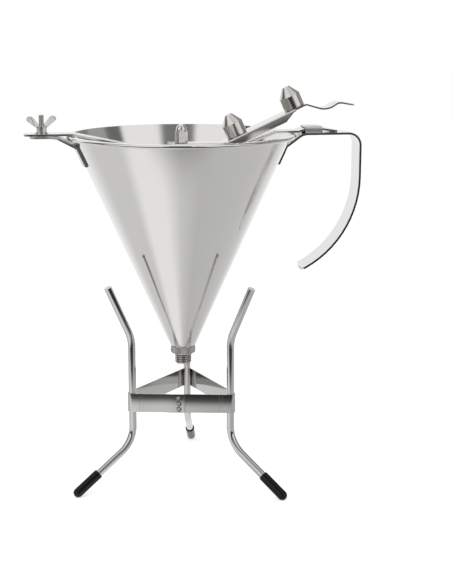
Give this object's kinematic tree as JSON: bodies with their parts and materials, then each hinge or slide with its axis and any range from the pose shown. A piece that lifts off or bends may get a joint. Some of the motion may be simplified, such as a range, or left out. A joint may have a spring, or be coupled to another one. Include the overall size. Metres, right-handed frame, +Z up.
{
  "type": "batter dispenser",
  "caption": "Conical metal funnel with a side handle and a thumb lever that lifts the outlet valve, held above its bent-rod stand with a triangular band.",
  "frame": {"origin": "on the table plane, on the common vertical axis of the stand and the funnel", "axes": "+Z up; +X from the axis towards the handle; +Y completes a right-handed frame, away from the picture's camera"},
  "size_m": [0.3025, 0.213, 0.3682],
  "materials": {
    "polished_steel": "polished round bar",
    "sheet_steel": "satin sheet",
    "polished_strip": "polished strip",
    "turned_steel": "turned",
    "spring_wire": "drawn wire",
    "black_rubber": "glossy",
    "seal_rubber": "soft, matt"
  },
  "bodies": {
    "stand": {"leg_rear": "polished_steel", "leg_left": "polished_steel", "leg_right": "polished_steel", "foot_cap_rear": "black_rubber", "foot_cap_left": "black_rubber", "foot_cap_right": "black_rubber", "stand_band": "sheet_steel"},
    "funnel": {"funnel_cone": "sheet_steel", "outlet_ferrule": "turned_steel", "lug": "sheet_steel", "lug_stud": "turned_steel", "handle": "polished_strip", "crossbar_loop": "polished_strip", "crossbar": "polished_strip", "clamp_washer": "turned_steel", "guide_bush": "turned_steel", "pivot_ears": "polished_strip", "pivot_pin": "turned_steel", "return_spring": "spring_wire", "nozzle_seal": "seal_rubber"},
    "nozzle": {"nozzle": "turned_steel"},
    "lever": {"lever": "polished_strip", "pivot_block": "turned_steel"},
    "piston": {"piston_rod": "polished_steel", "valve_plug": "turned_steel", "plug_ring": "seal_rubber", "spring_collar": "turned_steel", "collar_screw": "turned_steel", "lock_nut": "turned_steel", "dome_nut": "turned_steel"},
    "release_knob": {"release_knob": "turned_steel"},
    "thumb_knob": {"thumb_knob": "turned_steel"},
    "wing_nut": {"wing_nut": "turned_steel"}
  },
  "joints": [
    {"name": "funnel_lift", "type": "slide", "parent": "stand", "child": "funnel", "axis": [0, 0, 1], "range_m": [-0.069, 0.1]},
    {"name": "lever_press", "type": "hinge", "parent": "funnel", "child": "lever", "pos_m": [0.04504, 0, 0.31655], "axis": [0, 1, 0], "range_deg": [0, 8.5]},
    {"name": "piston_lift", "type": "slide", "parent": "funnel", "child": "piston", "axis": [0, 0, 1], "range_m": [0, 0.0077], "stiffness_N_per_m": 500, "springref_m": -0.008, "deforming": ["return_spring"]},
    {"name": "nozzle_turn", "type": "hinge", "parent": "funnel", "child": "nozzle", "pos_m": [0, 0, 0.12667], "axis": [0, 0, -1], "range_deg": [0, 360]},
    {"name": "wing_nut_turn", "type": "hinge", "parent": "funnel", "child": "wing_nut", "pos_m": [-0.1237, 0, 0.33267], "axis": [0, 0, 1], "range_deg": [0, 360]},
    {"name": "release_turn", "type": "hinge", "parent": "lever", "child": "release_knob", "pos_m": [0.0507, 0, 0.32462], "axis": [-0.4147, 0, 0.91], "range_deg": [0, 360]},
    {"name": "thumb_turn", "type": "hinge", "parent": "lever", "child": "thumb_knob", "pos_m": [0.10302, 0, 0.34847], "axis": [-0.4147, 0, 0.91], "range_deg": [0, 360]}
  ],
  "couplings": [
    {"joint": "piston_lift", "follows": "lever_press", "m_per_rad": 0.0513}
  ]
}
